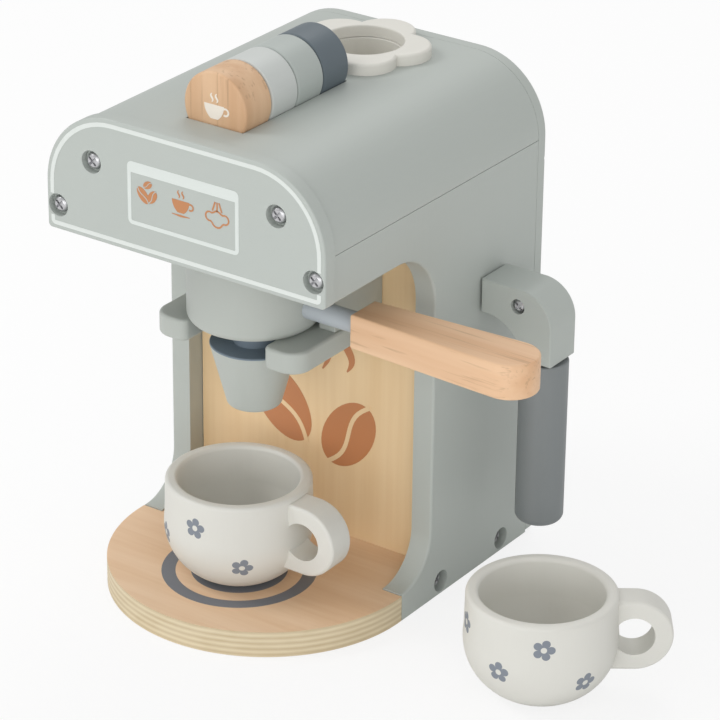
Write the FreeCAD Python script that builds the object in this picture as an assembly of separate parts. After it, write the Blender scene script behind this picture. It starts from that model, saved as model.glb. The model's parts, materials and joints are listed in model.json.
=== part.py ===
"""Wooden toy coffee maker with four pods, a turning portafilter, a steam wand and two cups.

Millimetres, +Z up, +X to the right of someone who faces the machine, -Y towards them.
The pieces are drawn with y = 0 on the face of the front panel and z = 0 on the floor.
place() then puts the origin on the floor under the middle of the body's depth.
"""
import FreeCAD
import Part
import math
import os

V = FreeCAD.Vector

# Body: two side boards, a front and a back panel and a bent top cover
body_w = 140.0
body_h = 224.0
inner_d = 150.0
side_t = 10.0
front_t = 7.0
back_t = 6.0
shoulder_r = 34.0
front_overhang = 0.8
seam = 0.25
cover_z = body_h - shoulder_r
cover_top_t = 12.0
cover_wall_t = 16.0
cover_haunch = 26.0
head_h = 55.0
head_z = body_h - head_h
edge_ease = 0.8

# Side board outline
column_y = 80.3
head_fillet_r = 28.0
toe_y = 59.2
flare_r = 21.0
board_ease = 1.2
toe_round = 2.0

# Base plate, a round plate in front that runs back between the side boards
base_t = 12.0
base_r = body_w / 2.0
base_cy = 57.0
base_fit = 0.3

# Backboard of the brewing bay
backboard_y = 89.4
backboard_t = 5.0

# Group block and the fork that carries the portafilter
brew_y = 48.0
basket_r = 28.5
basket_h = 37.5
basket_round = 4.0
basket_clear = 1.0
block_w = 74.0
block_front_y = 54.5
fork_w = 76.5
fork_front_y = 26.3
fork_t = 10.0
fork_gap = 40.4
fork_drop = 40.0
fork_top_z = head_z - fork_drop
fork_round = 9.0
fork_tip_round = 3.5
fork_ease = 1.5
rest_gap = 0.3

# Portafilter spout, neck, dowel and handle
spout_top_r = 19.2
spout_end_r = 11.5
spout_h = 29.0
spout_gap = 1.0
spout_round = 2.0
neck_r = 9.0
neck_depth = 10.0
turn_fit = 0.06
dowel_r = 4.6
dowel_rise = 11.7
dowel_z = fork_top_z + dowel_rise
dowel_inset = 12.0
handle_x = 55.5
handle_l = 84.5
handle_root_w = 17.0
handle_end_w = 24.6
handle_h = 15.6
handle_ease = 1.0

# Slot and the four round pods that stand in it
pod_count = 4
pod_r = 15.8
pod_t = 17.4
pod_gap = 0.5
pod_ease = 1.0
slot_w = 29.0
slot_front_y = 21.6
slot_end_gap = 0.6

# Flower collar and the turned well under it
well_y = 126.5
collar_t = 5.2
collar_hole_r = 17.5
petal_count = 5
petal_r = 13.5
petal_offset = 16.0
petal_angle = 19.0
collar_round = 1.4
well_r = 16.4
well_wall = 2.6
well_depth = 30.0
well_step = 1.8
well_step_depth = 9.0

# Steam wand
wand_y = 123.5
wand_drop = 35.6
wand_z = head_z - wand_drop
wand_gap = 1.0
washer_r = 6.5
washer_t = 0.7
pivot_r = 4.0
pivot_l = 26.0
pivot_inset = 0.5
bracket_w = 35.2
bracket_d = 20.0
bracket_rise = 8.0
bracket_leg = 24.2
bracket_top_z = wand_z + bracket_rise
bracket_leg_z = wand_z - bracket_leg
bracket_bar = 15.4
bracket_corner_r = 15.6
rod_r = 10.6
rod_inset = 8.8
rod_end_z = 31.0
rod_gap = 1.2
rod_round = 3.5
spigot_r = 4.0
spigot_l = 14.0
glue_fit = 0.05

# Pan-head screws and their counterbores
screw_head_r = 3.8
screw_head_h = 2.6
screw_shank_r = 1.8
screw_l = 22.0
cross_w = 1.0
cross_l = 4.6
cross_depth = 1.3
bore_r = 5.0
bore_depth = 3.4
side_bore_depth = 5.0
upper_screw_x = 46.8
upper_screw_drop = 20.3
lower_screw_rise = 11.0
upper_screw_z = body_h - upper_screw_drop
lower_screw_z = head_z + lower_screw_rise
back_low_screw_z = 26.0
base_screw_y = (89.0, 136.6)
wand_bore_r = 3.4
wand_head_r = 2.9
wand_screw_l = 13.0
wand_screw_gap = 1.1

# Cups
cup_h = 46.0
cup_r = 32.0
cup_rim_r = 31.6
cup_belly_z = 29.0
cup_foot_r = 15.0
cup_wall = 5.4
cup_floor_t = 9.0
cup_rim_round = 1.8
ring_out_r = 15.8
ring_hole_r = 8.6
ring_reach = 6.4
ring_z = 28.2
ring_t = 13.6
ring_ease = 1.4
cup_rest_gap = 0.3
near_cup = (-0.4, 37.2, 0.0)
floor_cup = (146.8, 48.0, 35.0)

body_d = front_t + inner_d + back_t
half_w = body_w / 2.0
half_in = half_w - side_t
back_y = front_t + inner_d
lower_screw_x = half_w - side_t / 2.0


def box(x0, x1, y0, y1, z0, z1):
    """Block between two corners."""
    return Part.makeBox(x1 - x0, y1 - y0, z1 - z0, V(x0, y0, z0))


def cyl(r, h, at, axis=V(0, 0, 1)):
    """Round bar of radius r that starts at a point and runs h along its axis."""
    return Part.makeCylinder(r, h, at, axis)


def arc(a, m, b):
    """Arc edge through three points."""
    return Part.Arc(a, m, b).toShape()


def line(a, b):
    """Straight edge, or nothing where two points of an outline meet."""
    return Part.makeLine(a, b) if a.distanceToPoint(b) > 1e-6 else None


def corner_arc(cx, cz, r, a0, a1, point):
    """Arc edge about (cx, cz), from angle a0 to a1 in degrees, with point() giving the 3-D place."""
    def on(a):
        return point(cx + r * math.cos(math.radians(a)), cz + r * math.sin(math.radians(a)))
    return arc(on(a0), on((a0 + a1) / 2.0), on(a1))


def prism(edges, direction):
    """Solid swept from a closed outline of edges."""
    edges = [e for e in edges if e is not None]
    return Part.Face(Part.Wire(Part.__sortEdges__(edges))).extrude(direction)


def eased(shape, radius, chosen):
    """Shape with the edges picked by chosen(edge) rounded off."""
    edges = [e for e in shape.Edges if chosen(e)]
    return shape.makeFillet(radius, edges) if edges and radius > 0 else shape


def at_y(y):
    """Test for edges that lie in a plane of constant y."""
    return lambda e: abs(e.BoundBox.YMin - y) < 1e-3 and abs(e.BoundBox.YMax - y) < 1e-3


def at_z(z):
    """Test for edges that lie in a plane of constant z."""
    return lambda e: abs(e.BoundBox.ZMin - z) < 1e-3 and abs(e.BoundBox.ZMax - z) < 1e-3


def shoulder_plate(grow, z0, y0, thickness, foot_r=0.0):
    """Upright plate with two large round top corners, grown by a margin at the sides and the top."""
    w = half_w + grow
    top = body_h + grow
    r = shoulder_r + grow

    def p(x, z):
        return V(x, y0, z)
    edges = [line(p(w, z0 + foot_r), p(w, top - r)), corner_arc(w - r, top - r, r, 0, 90, p),
             line(p(w - r, top), p(r - w, top)), corner_arc(r - w, top - r, r, 90, 180, p),
             line(p(-w, top - r), p(-w, z0 + foot_r)), line(p(foot_r - w, z0), p(w - foot_r, z0))]
    if foot_r > 0:
        edges += [corner_arc(foot_r - w, z0 + foot_r, foot_r, 180, 270, p),
                  corner_arc(w - foot_r, z0 + foot_r, foot_r, 270, 360, p)]
    return prism(edges, V(0, thickness, 0))


def screw_bore(shape, at, out, head_bore_r, depth, shank_l):
    """Shape with a counterbore and a pilot hole for a screw whose head faces out."""
    inward = out * -1.0
    shape = shape.cut(cyl(head_bore_r, depth + 1.0, at + out * 1.0, inward))
    return shape.cut(cyl(screw_shank_r + glue_fit, shank_l, at, inward))


def screw(at, out, depth, head_r=screw_head_r, length=screw_l):
    """Pan-head cross screw with the underside of its head on the floor of a counterbore."""
    crown = head_r * 0.62
    profile = [line(V(0, 0, -length), V(screw_shank_r, 0, -length + screw_shank_r)),
               line(V(screw_shank_r, 0, -length + screw_shank_r), V(screw_shank_r, 0, 0)),
               line(V(screw_shank_r, 0, 0), V(head_r, 0, 0)),
               line(V(head_r, 0, 0), V(head_r, 0, screw_head_h * 0.35)),
               arc(V(head_r, 0, screw_head_h * 0.35), V(crown + 0.75, 0, screw_head_h * 0.8),
                   V(crown, 0, screw_head_h)),
               line(V(crown, 0, screw_head_h), V(0, 0, screw_head_h)),
               line(V(0, 0, screw_head_h), V(0, 0, -length))]
    body = Part.Face(Part.Wire(profile)).revolve(V(0, 0, 0), V(0, 0, 1), 360)
    for turn in (45, 135):
        slot = box(-cross_l / 2, cross_l / 2, -cross_w / 2, cross_w / 2,
                   screw_head_h - cross_depth, screw_head_h + 1)
        slot.rotate(V(0, 0, 0), V(0, 0, 1), turn)
        body = body.cut(slot)
    body.Placement = FreeCAD.Placement(at - out * depth, FreeCAD.Rotation(V(0, 0, 1), out))
    return body


def front_screw_places():
    """The four screws of the front panel: two in the cover's corners, two in the side boards."""
    return [V(sx * x, 0, z) for sx in (-1, 1)
            for x, z in ((upper_screw_x, upper_screw_z), (lower_screw_x, lower_screw_z))]


def back_screw_places():
    """The back panel has the same screws, and one more low in each side board."""
    high = [V(p.x, body_d, p.z) for p in front_screw_places()]
    return high + [V(sx * lower_screw_x, body_d, back_low_screw_z) for sx in (-1, 1)]


def base_screw_places(sign):
    """Two screws through one side board into the edge of the base plate."""
    return [V(sign * half_w, y, base_t / 2.0) for y in base_screw_y]


def front_panel():
    """Fascia that stands a little proud of the body, with four counterbored screws."""
    plate = shoulder_plate(front_overhang, head_z, 0, front_t - seam, foot_r=toe_round)
    plate = eased(plate, edge_ease, at_y(0))
    for p in front_screw_places():
        plate = screw_bore(plate, p, V(0, -1, 0), bore_r, bore_depth, front_t + 1)
    return plate


def back_panel():
    """Full-height back plate."""
    plate = shoulder_plate(0, 0, back_y + seam, back_t - seam, foot_r=toe_round)
    plate = eased(plate, edge_ease, at_y(body_d))
    for p in back_screw_places():
        plate = screw_bore(plate, p, V(0, 1, 0), bore_r, bore_depth, back_t + 1)
    return plate


def side_panel(sign):
    """C-shaped side board: head arm, arched column and a flared toe that stands on the floor."""
    x_out = sign * half_w
    top = cover_z - seam

    def p(y, z):
        return V(x_out, y, z)
    edges = [line(p(front_t, head_z), p(front_t, top)), line(p(front_t, top), p(back_y, top)),
             line(p(back_y, top), p(back_y, 0)), line(p(back_y, 0), p(toe_y, 0)),
             line(p(toe_y, 0), p(toe_y, base_t + 0.6)),
             arc(p(toe_y, base_t + 0.6),
                 p(column_y - flare_r * (1 - math.sin(math.radians(45))),
                   base_t + flare_r * (1 - math.cos(math.radians(45))) + 0.4),
                 p(column_y, base_t + flare_r)),
             line(p(column_y, base_t + flare_r), p(column_y, head_z - head_fillet_r)),
             corner_arc(column_y - head_fillet_r, head_z - head_fillet_r, head_fillet_r, 0, 90, p),
             line(p(column_y - head_fillet_r, head_z), p(front_t, head_z))]
    board = prism(edges, V(-sign * side_t, 0, 0))

    def outer_front(e):
        b = e.BoundBox
        return (abs(b.XMin - x_out) < 1e-3 and abs(b.XMax - x_out) < 1e-3
                and b.YMax < column_y + 1e-3 and b.YMax > toe_y - 1e-3 and b.ZMin > base_t
                and b.ZMax < head_z + 1e-3)
    board = eased(board, board_ease, outer_front)
    for q in base_screw_places(sign):
        board = screw_bore(board, q, V(sign, 0, 0), bore_r, side_bore_depth, side_t + 1)
    low = V(sign * lower_screw_x, front_t, lower_screw_z)
    board = board.cut(cyl(screw_shank_r + glue_fit, screw_l, low, V(0, 1, 0)))
    for z in (lower_screw_z, back_low_screw_z):
        back = V(sign * lower_screw_x, back_y, z)
        board = board.cut(cyl(screw_shank_r + glue_fit, screw_l, back, V(0, -1, 0)))
    if sign > 0:
        board = board.cut(cyl(pivot_r + turn_fit, side_t + 2, V(half_in - 1, wand_y, wand_z), V(1, 0, 0)))
    return board


def top_cover():
    """Bent cover with thick haunches, a slot for the pods and a round hole for the well."""
    outer = shoulder_plate(0, cover_z, front_t, inner_d)
    hollow_w = half_w - cover_wall_t
    roof = body_h - cover_top_t

    def p(x, z):
        return V(x, front_t, z)
    flat = hollow_w - cover_haunch
    rise = roof - (cover_z + 1.0)
    inner = [line(p(-hollow_w, cover_z - 1), p(hollow_w, cover_z - 1)),
             line(p(hollow_w, cover_z - 1), p(hollow_w, cover_z + 1)),
             arc(p(hollow_w, cover_z + 1),
                 p(flat + cover_haunch * math.cos(math.radians(45)),
                   cover_z + 1 + rise * math.sin(math.radians(45))), p(flat, roof)),
             line(p(flat, roof), p(-flat, roof)),
             arc(p(-flat, roof),
                 p(-flat - cover_haunch * math.cos(math.radians(45)),
                   cover_z + 1 + rise * math.sin(math.radians(45))), p(-hollow_w, cover_z + 1)),
             line(p(-hollow_w, cover_z + 1), p(-hollow_w, cover_z - 1))]
    cover = outer.cut(prism(inner, V(0, inner_d, 0)))
    slot = box(-slot_w / 2, slot_w / 2, slot_front_y, slot_front_y + slot_l(), roof - 1, body_h + 1)
    cover = cover.cut(slot)
    cover = cover.cut(cyl(well_r + well_wall + glue_fit, cover_top_t + 2, V(0, well_y, roof - 1)))
    for s in (-1, 1):
        for y, d in ((front_t, 1), (back_y, -1)):
            hole = cyl(screw_shank_r + glue_fit, screw_l, V(s * upper_screw_x, y, upper_screw_z), V(0, d, 0))
            cover = cover.cut(hole)
    return cover


def slot_l():
    """Length of the slot: the pods, the gaps between them and the play at both ends."""
    return pod_count * pod_t + (pod_count - 1) * pod_gap + 2 * slot_end_gap


def base_plate():
    """Plywood base: a round plate in front, notched at the toes, that fills the space behind."""
    disc = cyl(base_r, base_t, V(0, base_cy, 0))
    front = disc.common(box(-base_r, base_r, base_cy - base_r, toe_y - base_fit, 0, base_t))
    inner = half_in - base_fit
    tongue = box(-inner, inner, toe_y - base_fit, back_y, 0, base_t)
    plate = front.fuse(tongue).removeSplitter()
    for s in (-1, 1):
        for q in base_screw_places(s):
            start = V(s * (half_in + 1), q.y, q.z)
            plate = plate.cut(cyl(screw_shank_r + glue_fit, screw_l, start, V(-s, 0, 0)))
    return plate


def backboard():
    """Upright ply board that closes the back of the brewing bay."""
    inner = half_in - base_fit
    return box(-inner, inner, backboard_y, backboard_y + backboard_t, base_t, cover_z - seam)


def u_prism(width, y0, y1, gap, z0, h, mouth_r):
    """Block with a round-bottomed slot that opens to the front."""
    block = box(-width / 2, width / 2, y0, y1, z0, z0 + h)
    slot = cyl(mouth_r, h + 2, V(0, brew_y, z0 - 1))
    if y0 < brew_y:
        slot = slot.fuse(box(-gap / 2, gap / 2, y0 - 1, brew_y, z0 - 1, z0 + h + 1))
    return block.cut(slot)


def group_block():
    """Block on the backboard that wraps round the back of the basket, from the fork to the head."""
    r = basket_r + basket_clear
    return u_prism(block_w, block_front_y, backboard_y, 2 * r, fork_top_z, cover_z - seam - fork_top_z, r)


def portafilter_fork():
    """Two-armed fork that carries the basket, with round corners and eased edges."""
    z0 = fork_top_z - fork_t
    fork = u_prism(fork_w, fork_front_y, backboard_y, fork_gap, z0, fork_t, fork_gap / 2)

    def upright(e, x):
        b = e.BoundBox
        return (b.ZLength > fork_t - 1e-3 and b.XLength < 1e-3 and b.YLength < 1e-3
                and abs(abs(b.XMin) - x) < 1e-3 and abs(b.YMin - fork_front_y) < 1e-3)
    fork = eased(fork, fork_round, lambda e: upright(e, fork_w / 2))
    fork = eased(fork, fork_tip_round, lambda e: upright(e, fork_gap / 2))

    def rim(e):
        b = e.BoundBox
        flat = b.ZLength < 1e-3 and b.YMin < backboard_y - 1e-3
        return flat and min(abs(b.ZMin - z0), abs(b.ZMin - fork_top_z)) < 1e-3
    return eased(fork, fork_ease, rim)


def spout():
    """Turned cone with a neck that stands in the basket."""
    top = fork_top_z - fork_t - spout_gap
    end = top - spout_h
    cone = Part.makeCone(spout_end_r, spout_top_r, spout_h, V(0, brew_y, end))
    cone = eased(cone, spout_round, at_z(end))
    cone = eased(cone, 0.6, at_z(top))
    neck = cyl(neck_r, fork_top_z + rest_gap + neck_depth - top, V(0, brew_y, top))
    return cone.fuse(neck)


def basket():
    """Turned basket that rests on the fork, with bores for the neck and the handle dowel."""
    z0 = fork_top_z + rest_gap
    drum = cyl(basket_r, basket_h, V(0, brew_y, z0))
    drum = eased(drum, basket_round, at_z(z0))
    drum = eased(drum, 1.0, at_z(z0 + basket_h))
    drum = drum.cut(cyl(neck_r + turn_fit, neck_depth + turn_fit, V(0, brew_y, z0)))
    start = V(basket_r - dowel_inset, brew_y, dowel_z)
    return drum.cut(cyl(dowel_r + glue_fit, dowel_inset + 1, start, V(1, 0, 0)))


def portafilter_dowel():
    """Round bar between the basket and the handle."""
    x0 = basket_r - dowel_inset
    bar = cyl(dowel_r, handle_x + dowel_inset - x0, V(x0, brew_y, dowel_z), V(1, 0, 0))
    return bar


def portafilter_handle():
    """Beech grip that widens towards a half-round end."""
    root = handle_root_w / 2
    r = handle_end_w / 2
    x_end = handle_x + handle_l - r
    z0 = dowel_z - handle_h / 2

    def p(x, y):
        return V(x, y, z0)
    edges = [line(p(handle_x, brew_y - root), p(x_end, brew_y - r)), corner_arc(x_end, brew_y, r, -90, 90, p),
             line(p(x_end, brew_y + r), p(handle_x, brew_y + root)),
             line(p(handle_x, brew_y + root), p(handle_x, brew_y - root))]
    grip = prism(edges, V(0, 0, handle_h))
    grip = eased(grip, handle_ease, lambda e: at_z(z0)(e) or at_z(z0 + handle_h)(e))
    bore = cyl(dowel_r + glue_fit, dowel_inset + 1, V(handle_x - 1, brew_y, dowel_z), V(1, 0, 0))
    return grip.cut(bore)


def pod(index):
    """Thick round disc that stands in the slot and rests on its two long edges."""
    y0 = slot_front_y + slot_end_gap + index * (pod_t + pod_gap)
    lift = math.sqrt((pod_r + rest_gap) ** 2 - (slot_w / 2) ** 2)
    disc = cyl(pod_r, pod_t, V(0, y0, body_h + lift), V(0, 1, 0))
    return disc.makeFillet(pod_ease, [e for e in disc.Edges if e.BoundBox.YLength < 1e-3])


def flower_collar():
    """Ring of five round petals round the well."""
    ring = cyl(collar_hole_r + 3.0, collar_t, V(0, well_y, body_h))
    for i in range(petal_count):
        a = math.radians(petal_angle + i * 360.0 / petal_count)
        at = V(petal_offset * math.cos(a), well_y + petal_offset * math.sin(a), body_h)
        ring = ring.fuse(cyl(petal_r, collar_t, at))
    ring = ring.removeSplitter()
    ring = eased(ring, collar_round, at_z(body_h + collar_t))
    hole = cyl(collar_hole_r, collar_t + 2, V(0, well_y, body_h - 1))
    ring = ring.cut(hole)
    rim = [e for e in ring.Edges if at_z(body_h + collar_t)(e) and abs(e.BoundBox.XLength - 2 * collar_hole_r) < 0.01]
    return ring.makeFillet(0.8, rim)


def hopper_cup():
    """Turned well that hangs in the cover's hole, with one step and a closed floor."""
    top = body_h - 0.2
    shell = cyl(well_r + well_wall, well_depth, V(0, well_y, top - well_depth))
    shell = shell.cut(cyl(well_r, well_step_depth + 1, V(0, well_y, top - well_step_depth)))
    return shell.cut(cyl(well_r - well_step, well_depth - well_wall, V(0, well_y, top - well_depth + well_wall)))


def wand_washer():
    """Thin ring between the side board and the wand bracket."""
    ring = cyl(washer_r, washer_t, V(half_w, wand_y, wand_z), V(1, 0, 0))
    return ring.cut(cyl(pivot_r + 2 * turn_fit, washer_t + 2, V(half_w - 1, wand_y, wand_z), V(1, 0, 0)))


def wand_pivot():
    """Dowel that is fast in the bracket and turns in the side board."""
    return cyl(pivot_r, pivot_l, V(half_in + pivot_inset, wand_y, wand_z), V(1, 0, 0))


def pivot_end():
    """Where the pivot dowel ends inside the bracket."""
    return half_in + pivot_inset + pivot_l


def wand_bracket():
    """Quarter-round elbow: a bar out from the side board and a leg down to the rod."""
    x0 = half_w + wand_gap
    x1 = x0 + bracket_w
    y0 = wand_y - bracket_d / 2
    r = bracket_corner_r
    inner_x = x1 - bracket_bar + 1.2
    inner_z = bracket_top_z - bracket_bar
    throat_x = inner_x - x0
    throat_z = inner_z - bracket_leg_z

    def p(x, z):
        return V(x, y0, z)
    edges = [line(p(x0, inner_z), p(x0, bracket_top_z)), line(p(x0, bracket_top_z), p(x1 - r, bracket_top_z)),
             corner_arc(x1 - r, bracket_top_z - r, r, 90, 0, p),
             line(p(x1, bracket_top_z - r), p(x1, bracket_leg_z)),
             line(p(x1, bracket_leg_z), p(inner_x, bracket_leg_z)),
             arc(p(inner_x, bracket_leg_z),
                 p(x0 + throat_x * math.cos(math.radians(45)), bracket_leg_z + throat_z * math.sin(math.radians(45))),
                 p(x0, inner_z))]
    elbow = prism(edges, V(0, bracket_d, 0))
    elbow = eased(elbow, edge_ease, lambda e: at_y(y0)(e) or at_y(y0 + bracket_d)(e))
    depth = pivot_end() + rest_gap - x0 + 1
    elbow = elbow.cut(cyl(pivot_r + glue_fit, depth, V(x0 - 1, wand_y, wand_z), V(1, 0, 0)))
    elbow = elbow.cut(cyl(spigot_r + glue_fit, spigot_l, V(rod_x(), wand_y, bracket_leg_z - 1)))
    return screw_bore(elbow, wand_screw_place(), V(0, -1, 0), wand_bore_r, bore_depth, wand_screw_l + bore_depth)


def rod_x():
    """Centre of the rod under the bracket's leg."""
    return half_w + wand_gap + bracket_w - rod_inset


def wand_screw_place():
    """Mouth of the counterbore in the bracket's front face."""
    return V(pivot_end() + wand_screw_gap + screw_shank_r, wand_y - bracket_d / 2, wand_z)


def steam_rod():
    """Slate rod with a round lower edge and a spigot in the bracket."""
    top = bracket_leg_z - rod_gap
    rod = cyl(rod_r, top - rod_end_z, V(rod_x(), wand_y, rod_end_z))
    rod = eased(rod, rod_round, at_z(rod_end_z))
    rod = eased(rod, 0.8, at_z(top))
    return rod.fuse(cyl(spigot_r, spigot_l + rod_gap - 1.5, V(rod_x(), wand_y, top)))


def cup_profile(offset):
    """Half outline of the cup's outside, moved inwards by an offset, from the foot to the rim."""
    foot = cup_foot_r - offset
    mid_r = cup_foot_r + (cup_r - cup_foot_r) * 0.76 - offset * 0.8
    mid_z = cup_belly_z * 0.36 + offset * 0.5
    belly = V(cup_r - offset, 0, cup_belly_z)
    low = V(max(foot, 0.5), 0, offset if offset else 0.0)
    return [arc(low, V(mid_r, 0, mid_z), belly), line(belly, V(cup_rim_r - offset, 0, cup_h))], low


def revolve_profile(edges, low, top_z, rim_r):
    """Solid of revolution under a half outline."""
    axis_low = V(0, 0, low.z)
    axis_top = V(0, 0, top_z)
    rim = V(rim_r, 0, top_z)
    closed = edges + [line(rim, axis_top), line(axis_top, axis_low), line(axis_low, low)]
    return Part.Face(Part.Wire(closed)).revolve(V(0, 0, 0), V(0, 0, 1), 360)


def cup_solid():
    """Turned cup body at the origin, before its hollow is cut."""
    edges, low = cup_profile(0.0)
    return revolve_profile(edges, low, cup_h, cup_rim_r)


def cup_bowl():
    """Turned cup with a round belly, a thick wall and a soft rim."""
    hollow_low = V(0.01, 0, cup_floor_t)
    r = cup_r - cup_wall
    edges = [arc(hollow_low, V(r * 0.72, 0, cup_floor_t + (cup_belly_z - cup_floor_t) * 0.3), V(r, 0, cup_belly_z)),
             line(V(r, 0, cup_belly_z), V(cup_rim_r - cup_wall, 0, cup_h))]
    hollow = revolve_profile(edges, hollow_low, cup_h, cup_rim_r - cup_wall)
    bowl = cup_solid().cut(hollow)
    return eased(bowl, cup_rim_round, at_z(cup_h))


def cup_handle():
    """Thick ring cut flat on both faces and scooped to fit the side of the cup."""
    cx = cup_r + ring_reach
    ring = cyl(ring_out_r, ring_t, V(cx, -ring_t / 2, ring_z), V(0, 1, 0))
    root = box(cup_r - 8, cx, -ring_t / 2, ring_t / 2, ring_z - ring_out_r, ring_z + ring_out_r)
    ring = ring.fuse(root).removeSplitter()
    ring = eased(ring, ring_ease, lambda e: at_y(-ring_t / 2)(e) or at_y(ring_t / 2)(e))
    ring = ring.cut(cyl(ring_hole_r, ring_t + 2, V(cx - 0.4, -ring_t / 2 - 1, ring_z), V(0, 1, 0)))
    return ring.cut(cup_solid())


def cup_pieces(place_xyt, z):
    """Bowl and handle of one cup, turned about its own axis and set down at a height."""
    x, y, turn = place_xyt
    out = []
    for piece in (cup_bowl(), cup_handle()):
        piece.rotate(V(0, 0, 0), V(0, 0, 1), turn)
        piece.translate(V(x, y, z))
        out.append(piece)
    return out


def place(shape):
    """Shape moved from the drawing's origin to the floor under the middle of the body."""
    moved = shape.copy()
    moved.translate(V(0, -body_d / 2.0, 0))
    return moved


def build():
    """All nodes by name."""
    nodes = {
        "base_plate": base_plate(), "side_panel_left": side_panel(-1), "side_panel_right": side_panel(1),
        "top_cover": top_cover(), "front_panel": front_panel(), "back_panel": back_panel(),
        "backboard": backboard(), "group_block": group_block(), "portafilter_fork": portafilter_fork(),
        "flower_collar": flower_collar(), "hopper_cup": hopper_cup(), "wand_washer": wand_washer(),
        "wand_pivot": wand_pivot(), "wand_bracket": wand_bracket(), "steam_rod": steam_rod(),
        "portafilter_spout": spout(), "portafilter_basket": basket(),
        "portafilter_dowel": portafilter_dowel(), "portafilter_handle": portafilter_handle(),
    }
    nodes["front_panel_screws"] = Part.makeCompound(
        [screw(p, V(0, -1, 0), bore_depth) for p in front_screw_places()])
    nodes["back_panel_screws"] = Part.makeCompound(
        [screw(p, V(0, 1, 0), bore_depth) for p in back_screw_places()])
    for name, s in (("left", -1), ("right", 1)):
        nodes["base_screws_" + name] = Part.makeCompound(
            [screw(p, V(s, 0, 0), side_bore_depth) for p in base_screw_places(s)])
    nodes["wand_screw"] = screw(wand_screw_place(), V(0, -1, 0), bore_depth, wand_head_r, wand_screw_l)
    for i, name in enumerate(("beech", "white", "sage", "slate")[:pod_count]):
        nodes["pod_" + name] = pod(i)
    nodes["near_cup_bowl"], nodes["near_cup_handle"] = cup_pieces(near_cup, base_t + cup_rest_gap)
    nodes["floor_cup_bowl"], nodes["floor_cup_handle"] = cup_pieces(floor_cup, 0.0)
    return nodes


os.makedirs("parts", exist_ok=True)
for node_name, node_shape in build().items():
    placed = place(node_shape)
    placed.exportStep("parts/" + node_name + ".step")
    print(node_name, len(placed.Solids), round(placed.Volume), placed.isValid())
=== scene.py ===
"""Looks for a wooden toy coffee maker with pods, a portafilter, a steam wand and two flowered cups."""

import json
import logging
import math
from dataclasses import dataclass, field
from enum import Enum
from typing import Optional, Union

import bmesh
import bpy
from mathutils import Matrix, Vector

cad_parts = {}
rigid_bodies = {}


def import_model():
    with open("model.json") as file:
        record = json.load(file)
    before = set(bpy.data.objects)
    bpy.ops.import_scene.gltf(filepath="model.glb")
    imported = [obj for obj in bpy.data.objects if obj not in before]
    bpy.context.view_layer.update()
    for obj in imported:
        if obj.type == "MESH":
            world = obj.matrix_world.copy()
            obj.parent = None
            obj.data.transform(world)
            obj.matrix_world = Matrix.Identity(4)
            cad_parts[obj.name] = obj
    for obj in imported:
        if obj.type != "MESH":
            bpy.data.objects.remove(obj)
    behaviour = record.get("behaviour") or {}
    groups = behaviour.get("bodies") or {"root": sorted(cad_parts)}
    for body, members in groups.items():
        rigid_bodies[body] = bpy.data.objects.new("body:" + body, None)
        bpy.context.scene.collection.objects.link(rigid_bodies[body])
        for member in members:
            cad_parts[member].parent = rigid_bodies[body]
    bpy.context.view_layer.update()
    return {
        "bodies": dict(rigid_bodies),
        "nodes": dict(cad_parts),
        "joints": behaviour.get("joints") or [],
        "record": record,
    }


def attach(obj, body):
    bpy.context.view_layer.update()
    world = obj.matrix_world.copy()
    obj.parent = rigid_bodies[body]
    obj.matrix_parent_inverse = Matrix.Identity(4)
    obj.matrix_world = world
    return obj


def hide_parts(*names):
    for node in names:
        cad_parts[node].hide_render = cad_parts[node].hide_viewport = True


LOG = logging.getLogger("toy_coffee_maker")
MM = 0.001
BODY_DEPTH = 163.0
Rgb = tuple[float, float, float]


def place(x: float, y: float, z: float) -> Vector:
    """A drawing place in mm, y from the front panel's face, as a place in the frame in metres."""
    return Vector((x, y - BODY_DEPTH / 2, z)) * MM


def srgb(red: int, green: int, blue: int) -> Rgb:
    """Linear colour of an 8-bit screen colour.

    Args:
        red: Red from 0 to 255.
        green: Green from 0 to 255.
        blue: Blue from 0 to 255.

    Returns:
        The colour as three linear numbers.
    """
    def linear(value: int) -> float:
        """One channel, from screen to linear."""
        share = value / 255.0
        return share / 12.92 if share <= 0.04045 else ((share + 0.055) / 1.055) ** 2.4
    return linear(red), linear(green), linear(blue)


class Grain(Enum):
    """Direction in which a board's fibres run."""

    ALONG_X = "X"
    ALONG_Y = "Y"
    ALONG_Z = "Z"


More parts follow.
